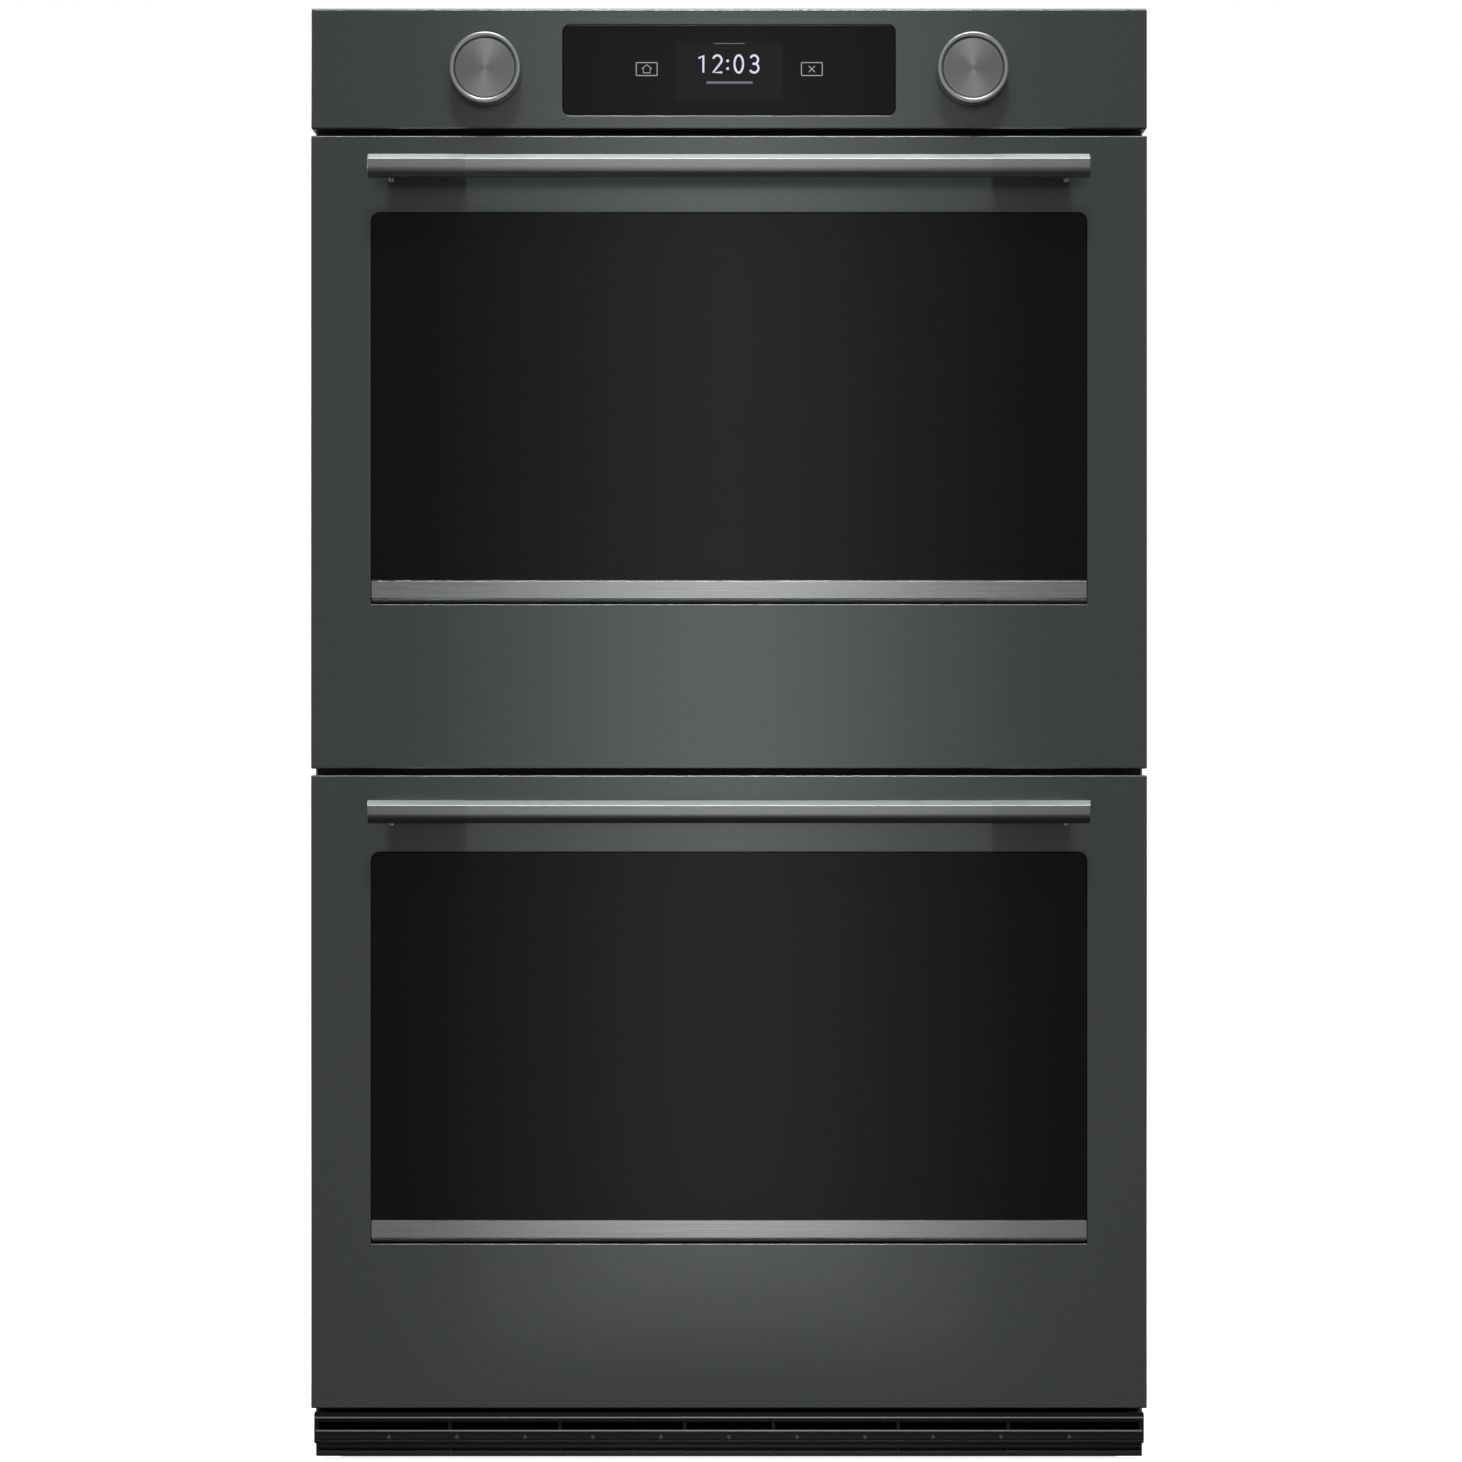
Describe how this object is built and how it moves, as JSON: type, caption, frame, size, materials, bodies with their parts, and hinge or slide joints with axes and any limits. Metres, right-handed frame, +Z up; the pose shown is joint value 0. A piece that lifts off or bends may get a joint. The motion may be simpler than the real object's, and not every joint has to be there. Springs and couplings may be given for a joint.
{
  "type": "double wall oven",
  "caption": "Built-in double wall oven: two enamelled cavities behind drop-down glass doors with bar handles, a control panel with knobs and display above, and an air vent below.",
  "frame": {"origin": "centre of the chassis base, on its underside", "axes": "+Z up, +X to the right seen from the front, the doors face -Y"},
  "size_m": [0.762, 0.714, 1.326],
  "materials": {
    "front_paint": "dark grey-green satin paint",
    "handle_metal": "brushed dark steel",
    "bright_strip": "brushed along its length",
    "door_glass": "dark glass with a black printed border",
    "inner_glass": "clear heat-resistant glass",
    "display_glass": "black glass over the display",
    "lamp_glass": "pressed glass lens",
    "enamel": "dark speckled vitreous enamel",
    "sheet_steel": "galvanised sheet",
    "machined_steel": "plain machined steel",
    "rack_wire": "bright plated wire",
    "heating_element": "heat-darkened sheathed tube",
    "vent_black": "black satin paint",
    "black_plastic": "moulded, matt",
    "circuit_board": "green laminate with solder mask",
    "door_seal": "woven glass-fibre sleeve"
  },
  "bodies": {
    "chassis": {"left_side_panel": "sheet_steel", "right_side_panel": "sheet_steel", "rear_panel": "sheet_steel", "top_cover": "sheet_steel", "base_pan": "sheet_steel", "middle_deck": "sheet_steel", "bottom_vent": "vent_black", "junction_box": "sheet_steel", "blower_housing": "sheet_steel", "control_panel": "front_paint", "display_glass": "display_glass", "display_module": "black_plastic", "control_board": "circuit_board", "lower_cavity": "enamel", "lower_gasket": "door_seal", "lower_broil_element": "heating_element", "lower_bake_element": "heating_element", "lower_fan_cover": "enamel", "lower_fan_motor": "sheet_steel", "lower_lamp": "lamp_glass", "lower_left_hinge_arm": "machined_steel", "lower_right_hinge_arm": "machined_steel", "upper_cavity": "enamel", "upper_gasket": "door_seal", "upper_broil_element": "heating_element", "upper_bake_element": "heating_element", "upper_fan_cover": "enamel", "upper_fan_motor": "sheet_steel", "upper_lamp": "lamp_glass", "upper_left_hinge_arm": "machined_steel", "upper_right_hinge_arm": "machined_steel"},
    "lower_door": {"lower_door_skin": "front_paint", "lower_outer_glass": "door_glass", "lower_inner_glass": "inner_glass", "lower_door_liner": "enamel", "lower_handle_bar": "handle_metal", "lower_left_handle_post": "handle_metal", "lower_right_handle_post": "handle_metal", "lower_trim_strip": "bright_strip"},
    "lower_fan": {"lower_fan_wheel": "machined_steel"},
    "lower_lock": {"lower_latch": "machined_steel"},
    "lower_high_shelf": {"lower_high_rack": "rack_wire"},
    "lower_low_shelf": {"lower_low_rack": "rack_wire"},
    "upper_door": {"upper_door_skin": "front_paint", "upper_outer_glass": "door_glass", "upper_inner_glass": "inner_glass", "upper_door_liner": "enamel", "upper_handle_bar": "handle_metal", "upper_left_handle_post": "handle_metal", "upper_right_handle_post": "handle_metal", "upper_trim_strip": "bright_strip"},
    "upper_fan": {"upper_fan_wheel": "machined_steel"},
    "upper_lock": {"upper_latch": "machined_steel"},
    "upper_high_shelf": {"upper_high_rack": "rack_wire"},
    "upper_low_shelf": {"upper_low_rack": "rack_wire"},
    "left_plunger": {"left_knob_shaft": "machined_steel"},
    "left_dial": {"left_knob": "handle_metal"},
    "right_plunger": {"right_knob_shaft": "machined_steel"},
    "right_dial": {"right_knob": "handle_metal"},
    "blower": {"blower_wheel": "black_plastic"}
  },
  "joints": [
    {"name": "lower_door_hinge", "type": "hinge", "parent": "chassis", "child": "lower_door", "pos_m": [0, -0.331, 0.074], "axis": [1, 0, 0], "range_deg": [0, 90], "stiffness_Nm_per_rad": 15, "springref_deg": -28.65},
    {"name": "lower_fan_spin", "type": "hinge", "parent": "chassis", "child": "lower_fan", "pos_m": [0, 0.2, 0.371], "axis": [0, 1, 0], "continuous": true},
    {"name": "lower_latch_slide", "type": "slide", "parent": "chassis", "child": "lower_lock", "axis": [0, -1, 0], "range_m": [0, 0.012]},
    {"name": "lower_high_rack_slide", "type": "slide", "parent": "chassis", "child": "lower_high_shelf", "axis": [0, -1, 0], "range_m": [0, 0.025]},
    {"name": "lower_low_rack_slide", "type": "slide", "parent": "chassis", "child": "lower_low_shelf", "axis": [0, -1, 0], "range_m": [0, 0.025]},
    {"name": "upper_door_hinge", "type": "hinge", "parent": "chassis", "child": "upper_door", "pos_m": [0, -0.331, 0.657], "axis": [1, 0, 0], "range_deg": [0, 90], "stiffness_Nm_per_rad": 15, "springref_deg": -28.65},
    {"name": "upper_fan_spin", "type": "hinge", "parent": "chassis", "child": "upper_fan", "pos_m": [0, 0.2, 0.954], "axis": [0, 1, 0], "continuous": true},
    {"name": "upper_latch_slide", "type": "slide", "parent": "chassis", "child": "upper_lock", "axis": [0, -1, 0], "range_m": [0, 0.012]},
    {"name": "upper_high_rack_slide", "type": "slide", "parent": "chassis", "child": "upper_high_shelf", "axis": [0, -1, 0], "range_m": [0, 0.025]},
    {"name": "upper_low_rack_slide", "type": "slide", "parent": "chassis", "child": "upper_low_shelf", "axis": [0, -1, 0], "range_m": [0, 0.025]},
    {"name": "left_knob_press", "type": "slide", "parent": "chassis", "child": "left_plunger", "axis": [0, 1, 0], "range_m": [0, 0.002], "stiffness_N_per_m": 1200, "springref_m": -0.002},
    {"name": "left_knob_turn", "type": "hinge", "parent": "left_plunger", "child": "left_dial", "pos_m": [-0.2214, -0.36, 1.269], "axis": [0, -1, 0], "continuous": true},
    {"name": "right_knob_press", "type": "slide", "parent": "chassis", "child": "right_plunger", "axis": [0, 1, 0], "range_m": [0, 0.002], "stiffness_N_per_m": 1200, "springref_m": -0.002},
    {"name": "right_knob_turn", "type": "hinge", "parent": "right_plunger", "child": "right_dial", "pos_m": [0.2214, -0.36, 1.269], "axis": [0, -1, 0], "continuous": true},
    {"name": "blower_spin", "type": "hinge", "parent": "chassis", "child": "blower", "pos_m": [0, 0.13, 1.21], "axis": [0, 0, 1], "continuous": true}
  ]
}
